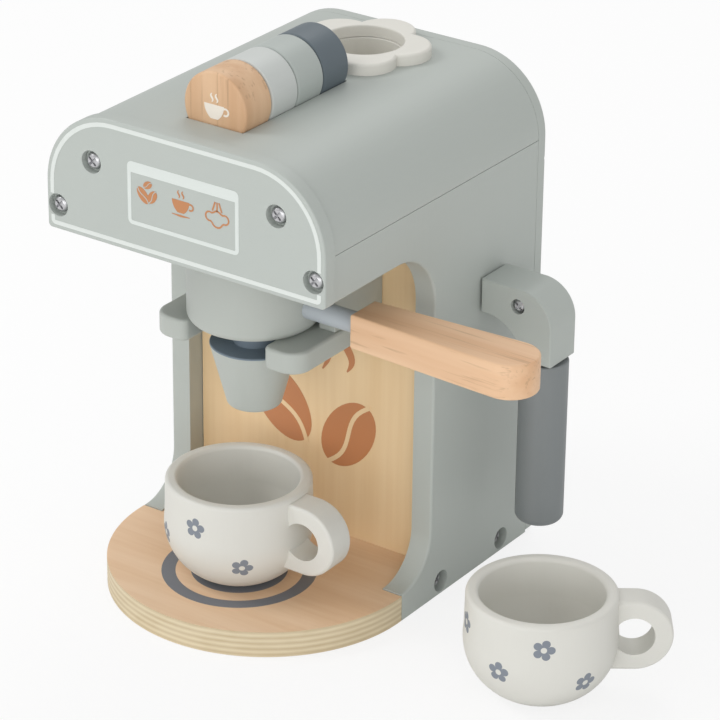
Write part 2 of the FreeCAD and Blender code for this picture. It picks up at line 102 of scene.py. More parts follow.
class Socket:
    """A node's output that can be used in sums."""

    def __init__(self, book: "ShaderBook", link: bpy.types.NodeSocket) -> None:
        """Wraps a socket of a book's material."""
        self.book = book
        self.link = link

    def _math(self, operation: str, *values: "Value", swap: bool = False) -> "Socket":
        """Adds a Math node on this socket and other values."""
        chain: list[Value] = [self, *values]
        if swap:
            chain.reverse()
        return self.book.math(operation, *chain)

    def __add__(self, other: "Value") -> "Socket":
        """Sum."""
        return self._math("ADD", other)

    __radd__ = __add__

    def __sub__(self, other: "Value") -> "Socket":
        """Difference."""
        return self._math("SUBTRACT", other)

    def __rsub__(self, other: "Value") -> "Socket":
        """Difference from a number."""
        return self._math("SUBTRACT", other, swap=True)

    def __mul__(self, other: "Value") -> "Socket":
        """Product."""
        return self._math("MULTIPLY", other)

    __rmul__ = __mul__

    def __truediv__(self, other: "Value") -> "Socket":
        """Quotient."""
        return self._math("DIVIDE", other)

    def __gt__(self, other: "Value") -> "Socket":
        """1 where this is greater."""
        return self._math("GREATER_THAN", other)

    def __lt__(self, other: "Value") -> "Socket":
        """1 where this is less."""
        return self._math("LESS_THAN", other)

    def __abs__(self) -> "Socket":
        """Size without sign."""
        return self._math("ABSOLUTE")

    def clipped(self) -> "Socket":
        """This value, kept between 0 and 1."""
        return self.at_least(0.0).at_most(1.0)

    def root(self) -> "Socket":
        """Square root."""
        return self._math("SQRT")

    def at_least(self, other: "Value") -> "Socket":
        """The greater of two values."""
        return self._math("MAXIMUM", other)

    def at_most(self, other: "Value") -> "Socket":
        """The lesser of two values."""
        return self._math("MINIMUM", other)


Value = Union[Socket, float, int]
Input = Union[Value, Rgb, tuple[float, float, float, float], Vector]


class ShaderBook:
    """One material's node tree, with a Principled shader as its surface."""

    def __init__(self, name: str) -> None:
        """Starts a material.

        Args:
            name: The material's name.
        """
        self.material = bpy.data.materials.new(name)
        self.material.use_nodes = True
        self.tree = self.material.node_tree
        self.shader = self.tree.nodes["Principled BSDF"]
        self.place = self.node("ShaderNodeTexCoord", out="Object")

    def node(self, kind: str, settings: Optional[dict] = None, inputs: Optional[dict] = None,
             out: Union[str, int] = 0) -> Socket:
        """Adds any node.

        Args:
            kind: The node's type.
            settings: Its own settings, set before its sockets.
            inputs: Values or links by socket name or number.
            out: Which output to return.

        Returns:
            The chosen output.
        """
        made = self.tree.nodes.new(kind)
        for key, value in (settings or {}).items():
            setattr(made, key, value)
        for key, value in (inputs or {}).items():
            self.feed(made.inputs[key], value)
        return Socket(self, made.outputs[out])

    def feed(self, target: bpy.types.NodeSocket, value: Input) -> None:
        """Links or sets one input."""
        if isinstance(value, Socket):
            self.tree.links.new(value.link, target)
        elif isinstance(value, (int, float)):
            target.default_value = value
        else:
            numbers = tuple(value)
            wide = target.type == "RGBA" and len(numbers) == 3
            target.default_value = (*numbers, 1.0) if wide else numbers

    def math(self, operation: str, *values: Value) -> Socket:
        """Adds a Math node."""
        return self.node("ShaderNodeMath", {"operation": operation}, dict(enumerate(values)))

    def mix(self, share: Value, under: Input, over: Input) -> Socket:
        """Mixes two colours.

        Args:
            share: How much of the second colour shows.
            under: The first colour.
            over: The second colour.

        Returns:
            The mixed colour.
        """
        return self.node("ShaderNodeMix", {"data_type": "RGBA"}, {0: share, 6: under, 7: over}, out=2)

    def axes(self) -> tuple[Socket, Socket, Socket]:
        """The object place as three numbers, in metres."""
        names = ("X", "Y", "Z")
        split = self.node("ShaderNodeSeparateXYZ", None, {0: self.place})
        return tuple(Socket(self, split.link.node.outputs[name]) for name in names)

    def stretched(self, scale: Rgb, offset: Rgb = (0.0, 0.0, 0.0)) -> Socket:
        """The object place, scaled along each axis."""
        return self.node("ShaderNodeMapping", None,
                         {"Vector": self.place, "Scale": scale, "Location": offset})

    def noise(self, vector: Socket, scale: float, detail: float = 3.0, rough: float = 0.5) -> Socket:
        """Noise from 0 to 1."""
        return self.node("ShaderNodeTexNoise", None,
                         {"Vector": vector, "Scale": scale, "Detail": detail, "Roughness": rough}, out=0)

    def along(self, origin: Vector, direction: Vector) -> Socket:
        """How far a place lies from an origin along a direction, in metres."""
        moved = self.node("ShaderNodeVectorMath", {"operation": "SUBTRACT"}, {0: self.place, 1: origin})
        return self.node("ShaderNodeVectorMath", {"operation": "DOT_PRODUCT"},
                         {0: moved, 1: direction}, out="Value")

    def surface(self, colour: Input, rough: Value, metal: float = 0.0, bump: Optional[Socket] = None,
                height: float = 0.0, strength: float = 0.3) -> bpy.types.Material:
        """Feeds the shader.

        Args:
            colour: Base colour.
            rough: Roughness.
            metal: Metallic share.
            bump: Height of the relief, from 0 to 1.
            height: Depth of the relief in metres.
            strength: Strength of the relief.

        Returns:
            The finished material.
        """
        self.feed(self.shader.inputs["Base Color"], colour)
        self.feed(self.shader.inputs["Roughness"], rough)
        self.shader.inputs["Metallic"].default_value = metal
        if bump is not None:
            normal = self.node("ShaderNodeBump", None,
                               {"Strength": strength, "Distance": height, "Height": bump}, out="Normal")
            self.feed(self.shader.inputs["Normal"], normal)
        return self.material


@dataclass(frozen=True)
class PaintedWood:
    """Satin paint through which the fibres of the board show a little."""

    name: str
    colour: Rgb
    grain: Grain = Grain.ALONG_Z
    rough: float = 0.5

    def base(self, book: ShaderBook) -> tuple[Socket, Socket, Socket]:
        """Colour, roughness and relief of the paint.

        Args:
            book: The material that gets the nodes.

        Returns:
            Colour, roughness and height.
        """
        thin = {Grain.ALONG_X: (6.0, 160.0, 160.0), Grain.ALONG_Y: (160.0, 6.0, 160.0),
                Grain.ALONG_Z: (160.0, 160.0, 6.0)}[self.grain]
        fibres = book.noise(book.stretched(thin), 3.2, 4.0, 0.6)
        cloud = book.noise(book.place, 26.0, 2.0, 0.5)
        shade = (fibres - 0.5) * 0.05 + (cloud - 0.5) * 0.06
        dark = tuple(0.84 * c for c in self.colour)
        light = tuple(min(1.0, 1.12 * c) for c in self.colour)
        colour = book.mix((shade + 0.5).clipped(), dark, light)
        rough = self.rough + (cloud - 0.5) * 0.10
        return colour, rough, fibres

    def build(self) -> bpy.types.Material:
        """The material."""
        book = ShaderBook(self.name)
        colour, rough, fibres = self.base(book)
        return book.surface(colour, rough, bump=fibres, height=0.00025, strength=0.25)


@dataclass(frozen=True)
class Beech:
    """Oiled beech with fine dark flecks along its fibres."""

    name: str
    grain: Grain
    light: Rgb = srgb(238, 202, 166)
    dark: Rgb = srgb(222, 178, 138)
    offset: Rgb = (0.0, 0.0, 0.0)

    def base(self, book: ShaderBook) -> tuple[Socket, Socket, Socket]:
        """Colour, roughness and relief of the wood.

        Args:
            book: The material that gets the nodes.

        Returns:
            Colour, roughness and height.
        """
        slow = {Grain.ALONG_X: (2.0, 60.0, 60.0), Grain.ALONG_Y: (60.0, 2.0, 60.0),
                Grain.ALONG_Z: (60.0, 60.0, 2.0)}[self.grain]
        quick = tuple(v * 5.0 for v in slow)
        bands = book.noise(book.stretched(slow, self.offset), 1.6, 3.0, 0.55)
        pores = book.noise(book.stretched(quick, self.offset), 1.8, 2.0, 0.5)
        flecks = ((pores - 0.60) * 9.0).clipped()
        tone = book.mix(((bands - 0.3) * 2.4).clipped(), self.light, self.dark)
        deep = tuple(0.62 * c for c in self.dark)
        colour = book.mix(flecks * 0.45, tone, deep)
        return colour, 0.46 + bands * 0.12, 1.0 - flecks

    def build(self) -> bpy.types.Material:
        """The material."""
        book = ShaderBook(self.name)
        colour, rough, height = self.base(book)
        return book.surface(colour, rough, bump=height, height=0.0002, strength=0.3)


@dataclass(frozen=True)
class RingPrint:
    """Printed rings on a level face."""

    centre: tuple[float, float] = (-0.5, 37.4)
    bands: tuple[tuple[float, float], ...] = ((27.7, 33.8), (15.2, 21.0))
    colour: Rgb = srgb(102, 112, 124)


@dataclass(frozen=True)
class BirchPly:
    """Birch plywood: a face veneer with soft grain, and plies that show on the cut edge."""

    name: str
    thickness: float
    grain: Grain = Grain.ALONG_X
    plies: int = 9
    bottom: float = 0.0
    rings: Optional[RingPrint] = None
    face_light: Rgb = srgb(236, 206, 174)
    face_dark: Rgb = srgb(223, 186, 148)
    edge_light: Rgb = srgb(222, 208, 178)
    edge_dark: Rgb = srgb(196, 176, 140)

    def build(self) -> bpy.types.Material:
        """The material."""
        book = ShaderBook(self.name)
        slow = {Grain.ALONG_X: (3.0, 46.0, 46.0), Grain.ALONG_Y: (46.0, 3.0, 46.0),
                Grain.ALONG_Z: (46.0, 46.0, 3.0)}[self.grain]
        bands = book.noise(book.stretched(slow), 1.4, 4.0, 0.6)
        lines = book.noise(book.stretched(tuple(v * 6.0 for v in slow)), 1.5, 2.0, 0.5)
        mixed = ((bands * 0.7 + lines * 0.3 - 0.32) * 2.6).clipped()
        face = book.mix(mixed, self.face_light, self.face_dark)
        x, y, z = book.axes()
        if self.rings is not None:
            middle = place(*self.rings.centre, 0.0)
            far = ((x - middle.x) * (x - middle.x) + (y - middle.y) * (y - middle.y)).root()
            ink: Optional[Socket] = None
            for low, high in self.rings.bands:
                band = (far > low * MM) * (far < high * MM)
                ink = band if ink is None else ink + band
            face = book.mix(ink * 0.93, face, self.rings.colour)
        wobble = book.noise(book.stretched((20.0, 20.0, 20.0)), 1.0, 2.0) * 0.0006
        level = (z + wobble - self.bottom * MM) / (self.thickness * MM) * self.plies
        ply = book.math("PINGPONG", level, 1.0)
        fibre = book.noise(book.stretched((90.0, 90.0, 420.0)), 1.0, 3.0)
        edge = book.mix((ply * 0.85 + (fibre - 0.5) * 0.7).clipped(),
                        self.edge_light, self.edge_dark)
        normal = book.node("ShaderNodeNewGeometry", out="True Normal")
        up = book.node("ShaderNodeSeparateXYZ", None, {0: normal}, out=2)
        top = abs(up) > 0.72
        colour = book.mix(top, edge, face)
        return book.surface(colour, 0.5 + bands * 0.1, bump=lines, height=0.0002, strength=0.22)


@dataclass(frozen=True)
class Veneer:
    """Pale veneer of an upright board."""

    name: str
    light: Rgb = srgb(243, 217, 176)
    dark: Rgb = srgb(232, 200, 154)

    def build(self) -> bpy.types.Material:
        """The material."""
        book = ShaderBook(self.name)
        bands = book.noise(book.stretched((34.0, 34.0, 3.0)), 1.5, 3.0, 0.55)
        lines = book.noise(book.stretched((260.0, 260.0, 9.0)), 1.2, 2.0, 0.5)
        share = ((bands * 0.65 + lines * 0.35 - 0.3) * 2.4).clipped()
        colour = book.mix(share, self.light, self.dark)
        return book.surface(colour, 0.52, bump=lines, height=0.0002, strength=0.18)


@dataclass(frozen=True)
class Steel:
    """Bright zinc on small screws."""

    name: str
    colour: Rgb = srgb(196, 196, 198)
    rough: float = 0.28

    def build(self) -> bpy.types.Material:
        """The material."""
        book = ShaderBook(self.name)
        wear = book.noise(book.place, 900.0, 2.0)
        return book.surface(self.colour, self.rough + wear * 0.14, metal=1.0)


@dataclass(frozen=True)
class Ink:
    """Flat printed colour."""

    name: str
    colour: Rgb
    rough: float = 0.5

    def build(self) -> bpy.types.Material:
        """The material."""
        return ShaderBook(self.name).surface(self.colour, self.rough)


@dataclass(frozen=True)
class Flower:
    """One five-petalled flower on a cup.

    Attributes:
        turn: Its direction round the cup, in degrees from +X.
        height: Its height above the cup's foot, in mm.
        tilt: Its own turn, in degrees.
        reach: Its radius in mm.
    """

    turn: float
    height: float
    tilt: float
    reach: float = 4.8


@dataclass(frozen=True)
class FlowerGlaze:
    """Off-white paint with small printed flowers."""

    name: str
    centre: Vector
    flowers: tuple[Flower, ...]
    radius_at: tuple[tuple[float, float], ...]
    colour: Rgb = srgb(218, 217, 210)
    ink: Rgb = srgb(118, 126, 138)

    def _radius(self, height: float) -> tuple[float, float]:
        """Radius and slope of the cup's outside at a height, both from its outline."""
        steps = self.radius_at
        for (z0, r0), (z1, r1) in zip(steps, steps[1:]):
            if z0 <= height <= z1:
                share = (height - z0) / (z1 - z0)
                return r0 + (r1 - r0) * share, (r1 - r0) / (z1 - z0)
        return steps[-1][1], 0.0

    def build(self) -> bpy.types.Material:
        """The material."""
        book = ShaderBook(self.name)
        colour, rough, fibres = PaintedWood(self.name, self.colour, Grain.ALONG_Z, 0.48).base(book)
        mask: Optional[Socket] = None
        for flower in self.flowers:
            radius, slope = self._radius(flower.height)
            angle = math.radians(flower.turn)
            out = Vector((math.cos(angle), math.sin(angle), 0.0))
            side = Vector((-math.sin(angle), math.cos(angle), 0.0))
            face = (out - Vector((0, 0, slope))).normalized()
            rise = face.cross(side)
            at = self.centre + (out * radius + Vector((0, 0, flower.height))) * MM
            turned = Matrix.Rotation(math.radians(flower.tilt), 3, face)
            u = book.along(at, turned @ side) / MM
            v = book.along(at, turned @ rise) / MM
            deep = book.along(at, face) / MM
            far = (u * u + v * v).root()
            around = book.math("WRAP", book.math("ARCTAN2", v, u), math.pi / 5, -math.pi / 5)
            out_u = far * book.math("COSINE", around) - flower.reach * 0.63
            out_v = far * book.math("SINE", around)
            petal = (out_u * out_u + out_v * out_v).root() < flower.reach * 0.365
            shape = petal.at_least(far < flower.reach * 0.5) * (far > flower.reach * 0.27) * (deep > -4.0)
            mask = shape if mask is None else mask.at_least(shape)
        if mask is not None:
            colour = book.mix(mask * 0.94, colour, self.ink)
        return book.surface(colour, rough, bump=fibres, height=0.0002, strength=0.2)


class Paints:
    """Every finish of the toy, made once."""

    def __init__(self) -> None:
        """Builds the materials."""
        sage = srgb(181, 187, 182)
        self.sage_upright = PaintedWood("sage_paint_upright", sage, Grain.ALONG_Z).build()
        self.sage_level = PaintedWood("sage_paint_level", sage, Grain.ALONG_Y).build()
        self.sage_across = PaintedWood("sage_paint_across", sage, Grain.ALONG_X).build()
        self.group = PaintedWood("group_paint", srgb(181, 186, 180), Grain.ALONG_Z, 0.46).build()
        # Blue-grey paint darkened as painted shade, for the spout's top face in the shadow under the basket
        # and fork.
        self.cone_top_painted_shade = PaintedWood("painted_shade_blue_paint", srgb(118, 132, 144), Grain.ALONG_Z, 0.5).build()
        self.slate = PaintedWood("slate_paint", srgb(98, 109, 116), Grain.ALONG_Y, 0.5).build()
        self.rod = PaintedWood("rod_paint", srgb(128, 133, 134), Grain.ALONG_Z, 0.46).build()
        self.mist = PaintedWood("mist_blue_paint", srgb(180, 187, 192), Grain.ALONG_X, 0.45).build()
        self.cream = PaintedWood("cream_paint", srgb(224, 222, 214), Grain.ALONG_X, 0.5).build()
        self.white = PaintedWood("white_paint", srgb(202, 206, 203), Grain.ALONG_Y, 0.5).build()
        self.pale_sage = PaintedWood("pale_sage_paint", srgb(178, 185, 181), Grain.ALONG_Y, 0.5).build()
        self.beech_x = Beech("beech_handle", Grain.ALONG_X).build()
        self.beech_z = Beech("beech_pod", Grain.ALONG_Z, srgb(225, 190, 154), srgb(207, 166, 128)).build()
        self.base = BirchPly("ring_printed_plywood", 12.0, Grain.ALONG_X, rings=RingPrint()).build()
        self.veneer = Veneer("backboard_veneer").build()
        self.steel = Steel("zinc_steel").build()
        self.cream_cup = PaintedWood("cup_handle_paint", srgb(218, 217, 210), Grain.ALONG_Z, 0.48).build()
        self.outline_ink = Ink("white_print", srgb(216, 221, 217)).build()
        self.display_ink = Ink("display_white_print", srgb(213, 219, 215)).build()
        self.brown_ink = Ink("brown_print", srgb(188, 128, 84)).build()
        self.board_ink = Ink("board_brown_print", srgb(196, 132, 88)).build()
        self.cream_ink = Ink("cream_print", srgb(240, 232, 220)).build()


def repaint(node: bpy.types.Object, paint: bpy.types.Material) -> None:
    """Gives a CAD node one finish."""
    node.data.materials.clear()
    node.data.materials.append(paint)


def smooth_by_angle(mesh: bpy.types.Mesh, limit: float = 32.0) -> None:
    """Smooth faces with sharp edges where two faces meet at more than an angle.

    Args:
        mesh: The mesh.
        limit: The angle in degrees.
    """
    shell = bmesh.new()
    shell.from_mesh(mesh)
    for face in shell.faces:
        face.smooth = True
    for edge in shell.edges:
        edge.smooth = len(edge.link_faces) == 2 and edge.calc_face_angle(0.0) < math.radians(limit)
    shell.to_mesh(mesh)
    shell.free()


def softened(frame: dict, name: str, body: str, width: float, paint: bpy.types.Material,
             limit: float = 35.0) -> bpy.types.Object:
    """A copy of a CAD node with its sharp edges eased, which takes the node's place.

    Args:
        frame: The loaded frame.
        name: The node's name.
        body: The body that carries it.
        width: Width of the eased edge in mm.
        paint: Its finish.
        limit: Angle in degrees above which an edge is eased.

    Returns:
        The new piece.
    """
    mesh = frame["nodes"][name].data.copy()
    mesh.name = name + "_dressed"
    if mesh.has_custom_normals:
        mesh.attributes.remove(mesh.attributes["custom_normal"])
    shell = bmesh.new()
    shell.from_mesh(mesh)
    bmesh.ops.remove_doubles(shell, verts=shell.verts, dist=2e-6)
    bmesh.ops.dissolve_limit(shell, angle_limit=math.radians(0.4), verts=shell.verts, edges=shell.edges)
    for face in shell.faces:
        face.smooth = True
    for edge in shell.edges:
        edge.smooth = len(edge.link_faces) == 2 and edge.calc_face_angle(0.0) < math.radians(limit)
    shell.to_mesh(mesh)
    shell.free()
    piece = bpy.data.objects.new(name + "_dressed", mesh)
    bpy.context.scene.collection.objects.link(piece)
    mesh.materials.clear()
    mesh.materials.append(paint)
    if width > 0:
        ease = piece.modifiers.new("eased_edges", "BEVEL")
        ease.width = width * MM
        ease.segments = 2
        ease.limit_method = "ANGLE"
        ease.angle_limit = math.radians(limit)
        ease.harden_normals = True
        ease.use_clamp_overlap = True
    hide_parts(name)
    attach(piece, body)
    LOG.info("%s softened by %.2f mm", name, width)
    return piece


def from_bmesh(name: str, shell: bmesh.types.BMesh, paint: bpy.types.Material, body: str,
               limit: float = 32.0) -> bpy.types.Object:
    """Turns a bmesh into a piece of a body.

    Args:
        name: The piece's name.
        shell: The mesh, which is freed.
        paint: Its finish.
        body: The body that carries it.
        limit: Angle above which an edge stays sharp.

    Returns:
        The piece.
    """
    bmesh.ops.remove_doubles(shell, verts=shell.verts, dist=1e-6)
    bmesh.ops.recalc_face_normals(shell, faces=shell.faces)
    mesh = bpy.data.meshes.new(name)
    shell.to_mesh(mesh)
    shell.free()
    smooth_by_angle(mesh, limit)
    mesh.materials.append(paint)
    piece = bpy.data.objects.new(name, mesh)
    bpy.context.scene.collection.objects.link(piece)
    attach(piece, body)
    LOG.info("%s has %d faces", name, len(mesh.polygons))
    return piece


@dataclass
class FlatPrint:
    """A thin layer of ink on a flat face, drawn in mm along two directions of the face."""

    name: str
    origin: Vector
    right: Vector
    up: Vector
    thick: float = 0.06
    lift: float = 0.03
    shell: bmesh.types.BMesh = field(default_factory=bmesh.new)

    def _matrix(self) -> Matrix:
        """From the drawing plane in mm to the frame in metres."""
        out = self.right.cross(self.up)
        turned = Matrix((self.right, self.up, out)).transposed().to_4x4()
        scaled = turned @ Matrix.Scale(MM, 4)
        scaled.translation = self.origin
        return scaled

    def _raise(self, made: list) -> None:
        """Gives new flat faces the ink's thickness."""
        faces = [f for f in made if isinstance(f, bmesh.types.BMFace)]
        grown = bmesh.ops.extrude_face_region(self.shell, geom=faces)["geom"]
        tops = [v for v in grown if isinstance(v, bmesh.types.BMVert)]
        bmesh.ops.translate(self.shell, verts=tops, vec=(0, 0, self.thick))

    def oval(self, u: float, v: float, half_u: float, half_v: float, turn: float = 0.0,
             lift: float = 0.0, segments: int = 40) -> None:
        """An oval spot.

        Args:
            u: Its middle along the first direction.
            v: Its middle along the second direction.
            half_u: Half width.
            half_v: Half height.
            turn: Its turn in degrees.
            lift: Extra height above the face.
            segments: Corners of its outline.
        """
        seat = (Matrix.Translation((u, v, self.lift + lift)) @ Matrix.Rotation(math.radians(turn), 4, "Z")
                @ Matrix.Diagonal((half_u, half_v, 1, 1)))
        made = bmesh.ops.create_circle(self.shell, cap_ends=True, segments=segments, radius=1.0, matrix=seat)
        self._raise(list({f for vert in made["verts"] for f in vert.link_faces}))

    def stroke(self, path: list[tuple[float, float]], width: Union[float, list[float]],
               closed: bool = False, lift: float = 0.0) -> None:
        """A line of ink along a path.

        Args:
            path: Points of the middle of the line.
            width: One width, or one for each point.
            closed: Whether the line runs back to its start.
            lift: Extra height above the face.
        """
        points = [Vector((u, v, self.lift + lift)) for u, v in path]
        count = len(points)
        widths = width if isinstance(width, list) else [width] * count

        def across(index: int) -> Vector:
            """Half the line's width at a point, square to the path."""
            before = points[(index - 1) % count] if closed or index > 0 else points[index]
            after = points[(index + 1) % count] if closed or index < count - 1 else points[index]
            run = (after - before).normalized()
            return Vector((-run.y, run.x, 0)) * widths[index] / 2
        left = self.shell.verts.new(points[0] - across(0))
        right = self.shell.verts.new(points[0] + across(0))
        edge = self.shell.edges.new((left, right))
        used, faces = [left, right], []
        for index in range(1, count + (1 if closed else 0)):
            here = index % count
            grown = bmesh.ops.extrude_edge_only(self.shell, edges=[edge])["geom"]
            ends = [g for g in grown if isinstance(g, bmesh.types.BMVert)]
            new_left = next(v for v in ends if self.shell.edges.get((v, left)))
            new_right = next(v for v in ends if v is not new_left)
            new_left.co = points[here] - across(here)
            new_right.co = points[here] + across(here)
            faces += [g for g in grown if isinstance(g, bmesh.types.BMFace)]
            edge = self.shell.edges.get((new_left, new_right))
            left, right = new_left, new_right
            used += [left, right]
        if closed:
            bmesh.ops.remove_doubles(self.shell, verts=used, dist=1e-4)
        self._raise(faces)

    def build(self, paint: bpy.types.Material, body: str) -> bpy.types.Object:
        """The print as a piece of a body."""
        bmesh.ops.transform(self.shell, matrix=self._matrix(), verts=self.shell.verts)
        return from_bmesh(self.name, self.shell, paint, body)


def rounded_path(left: float, right: float, low: float, high: float, low_r: float, high_r: float,
                 steps: int = 10) -> list[tuple[float, float]]:
    """Corner-rounded rectangle as a closed path, from its low left corner round to the left.

    Args:
        left: Left side.
        right: Right side.
        low: Low side.
        high: High side.
        low_r: Radius of the low corners.
        high_r: Radius of the high corners.
        steps: Points on each corner.

    Returns:
        The points of the path.
    """
    corners = ((left + low_r, low + low_r, low_r, 180), (right - low_r, low + low_r, low_r, 270),
               (right - high_r, high - high_r, high_r, 0), (left + high_r, high - high_r, high_r, 90))
    path = []
    for u, v, radius, start in corners:
        for step in range(steps + 1):
            angle = math.radians(start + 90.0 * step / steps)
            path.append((u + radius * math.cos(angle), v + radius * math.sin(angle)))
    return path


def wave(u: float, v: float, height: float, swing: float, steps: int = 10) -> list[tuple[float, float]]:
    """An S-shaped upright path."""
    return [(u + swing * math.sin(2 * math.pi * i / steps), v + height * i / steps) for i in range(steps + 1)]


def turned_path(path: list[tuple[float, float]], u: float, v: float,
                turn: float) -> list[tuple[float, float]]:
    """A path about (0, 0), turned by degrees and moved to (u, v)."""
    c, s = math.cos(math.radians(turn)), math.sin(math.radians(turn))
    return [(u + a * c - b * s, v + a * s + b * c) for a, b in path]


@dataclass
class CupPictogram:
    """A small cup with a saucer and two wisps of steam.

    Attributes:
        u: Middle of the cup.
        v: Foot of the cup.
        size: Width of the bowl in mm.
        saucer: Whether a saucer is drawn.
    """

    u: float
    v: float
    size: float
    saucer: bool = True

    def draw(self, layer: FlatPrint) -> None:
        """Draws the cup on a print layer."""
        s = self.size
        bowl = [(self.u, self.v + s * 0.62 * i / 8) for i in range(9)]
        widths = [s * (0.36 + 0.64 * math.sin(math.pi / 2 * (i / 8) ** 0.8)) for i in range(9)]
        layer.stroke(bowl, widths)
        ear = [(self.u + s * 0.56 + s * 0.16 * math.cos(a), self.v + s * 0.40 + s * 0.15 * math.sin(a))
               for a in (math.radians(d) for d in range(-120, 125, 20))]
        layer.stroke(ear, s * 0.085, lift=0.02)
        for shift in (-0.11, 0.13):
            path = wave(self.u + s * shift, self.v + s * 0.72, s * 0.38, s * 0.05)
            layer.stroke(path, [s * 0.09 * math.sin(math.pi * (0.12 + 0.76 * i / 10)) for i in range(11)])
        if self.saucer:
            layer.stroke([(self.u - s * 0.52, self.v - s * 0.13), (self.u, self.v - s * 0.15),
                          (self.u + s * 0.52, self.v - s * 0.13)], [s * 0.03, s * 0.11, s * 0.03])


@dataclass
class Bean:
    """A coffee bean with a wavy crease."""

    u: float
    v: float
    half_w: float
    half_h: float
    turn: float
    lift: float = 0.0

    def draw(self, ink: FlatPrint, crease: FlatPrint) -> None:
        """Draws the bean in ink and its crease in the colour of the ground."""
        ink.oval(self.u, self.v, self.half_w, self.half_h, self.turn, self.lift)
        path = wave(0.0, -self.half_h * 1.08, self.half_h * 2.16, self.half_w * 0.22, 16)
        crease.stroke(turned_path(path, self.u, self.v, self.turn), self.half_w * 0.17, lift=self.lift)


@dataclass
class Fascia:
    """The front panel with its white outline, its display and its screws."""

    inset: float = 2.9
    line: float = 1.9
    half_w: float = 70.8
    low: float = 169.0
    high: float = 224.8
    corner: float = 34.8
    screw_low: float = 175.2
    screw_high: float = 184.8
    foot_corner: float = 1.2
    display_left: float = -27.1
    display_right: float = 27.5
    display_low: float = 182.5
    display_high: float = 208.5
    display_corner: float = 1.5
    display_line: float = 1.8
    bar_line: float = 3.4
    cloud_middle: float = 17.6
    cloud_line: float = 0.75

    def outline(self, layer: FlatPrint) -> None:
        """The outline in two runs that stop at the lower screws."""
        side = self.half_w - self.inset
        path = rounded_path(-side, side, self.low + self.inset, self.high - self.inset, self.foot_corner,
                            self.corner - self.inset, 14)
        lower = [p for p in path if p[1] < self.screw_low - 0.5]
        upper = [p for p in path if p[1] > self.screw_high + 0.5]
        layer.stroke([(-side, self.screw_low), *lower, (side, self.screw_low)], self.line)
        layer.stroke([(side, self.screw_high), *upper, (-side, self.screw_high)], self.line)

    def display(self, layer: FlatPrint) -> None:
        """The display's frame, with a thick bar along its top."""
        frame = rounded_path(self.display_left, self.display_right, self.display_low, self.display_high,
                             self.display_corner, self.display_corner, 6)
        layer.stroke(frame, self.display_line, closed=True)
        layer.stroke([(-26.6, 206.3), (27.0, 206.3)], self.bar_line, lift=0.004)

    def icons(self, ink: FlatPrint, crease: FlatPrint) -> None:
        """Beans, a cup and a steam cloud."""
        Bean(-20.0, 195.8, 2.3, 4.1, 40).draw(ink, crease)
        Bean(-15.3, 196.0, 2.0, 3.3, -34, 0.02).draw(ink, crease)
        Bean(-17.6, 200.8, 1.6, 2.4, -60, 0.04).draw(ink, crease)
        CupPictogram(-0.8, 192.9, 8.8).draw(ink)
        for u, lean in ((-1.9, -0.45), (0.0, 0.0), (1.9, 0.45)):
            ink.stroke([(self.cloud_middle + u * 0.5, 202.2), (self.cloud_middle + u + lean, 198.2)],
                       self.cloud_line)
        cloud = []
        puffs = ((13.8, 195.4, 2.0, 60, 285), (self.cloud_middle, 193.9, 2.7, 205, 335),
                 (21.4, 195.4, 2.0, -105, 120), (self.cloud_middle, 196.1, 2.2, 40, 140))
        for cu, cv, radius, first, last in puffs:
            steps = 8
            cloud += [(cu + radius * math.cos(math.radians(first + (last - first) * i / steps)),
                       cv + radius * math.sin(math.radians(first + (last - first) * i / steps)))
                      for i in range(steps + 1)]
        ink.stroke(cloud, self.cloud_line, closed=True)

    def dress(self, frame: dict, paints: Paints) -> None:
        """Paints the panel and prints on it."""
        softened(frame, "front_panel", "machine", 0.25, paints.sage_across)
        repaint(frame["nodes"]["front_panel_screws"], paints.steel)
        face = place(0.0, 0.0, 0.0)
        right, up = Vector((1, 0, 0)), Vector((0, 0, 1))
        white = FlatPrint("fascia_outline_print", face, right, up)
        self.outline(white)
        white.build(paints.outline_ink, "machine")
        screen = FlatPrint("display_frame_print", face, right, up)
        self.display(screen)
        screen.build(paints.display_ink, "machine")
        ink = FlatPrint("display_icon_print", face, right, up)
        crease = FlatPrint("display_icon_creases", face, right, up, thick=0.12)
        self.icons(ink, crease)
        ink.build(paints.brown_ink, "machine")
        crease.build(paints.sage_across, "machine")


@dataclass
class Housing:
    """Boards, cover, back, base and group of the machine."""

    def dress(self, frame: dict, paints: Paints) -> None:
        """Paints the boards, each with its own easing of the edges in mm."""
        for name, ease, paint in (
                ("side_panel_left", 0.35, paints.sage_upright),
                ("side_panel_right", 0.35, paints.sage_upright),
                ("top_cover", 0.4, paints.sage_level), ("back_panel", 0.3, paints.sage_upright),
                ("base_plate", 0.5, paints.base), ("backboard", 0.2, paints.veneer),
                ("group_block", 0.6, paints.group), ("portafilter_fork", 0.0, paints.group)):
            softened(frame, name, "machine", ease, paint)
        for name in ("back_panel_screws", "base_screws_left", "base_screws_right"):
            repaint(frame["nodes"][name], paints.steel)


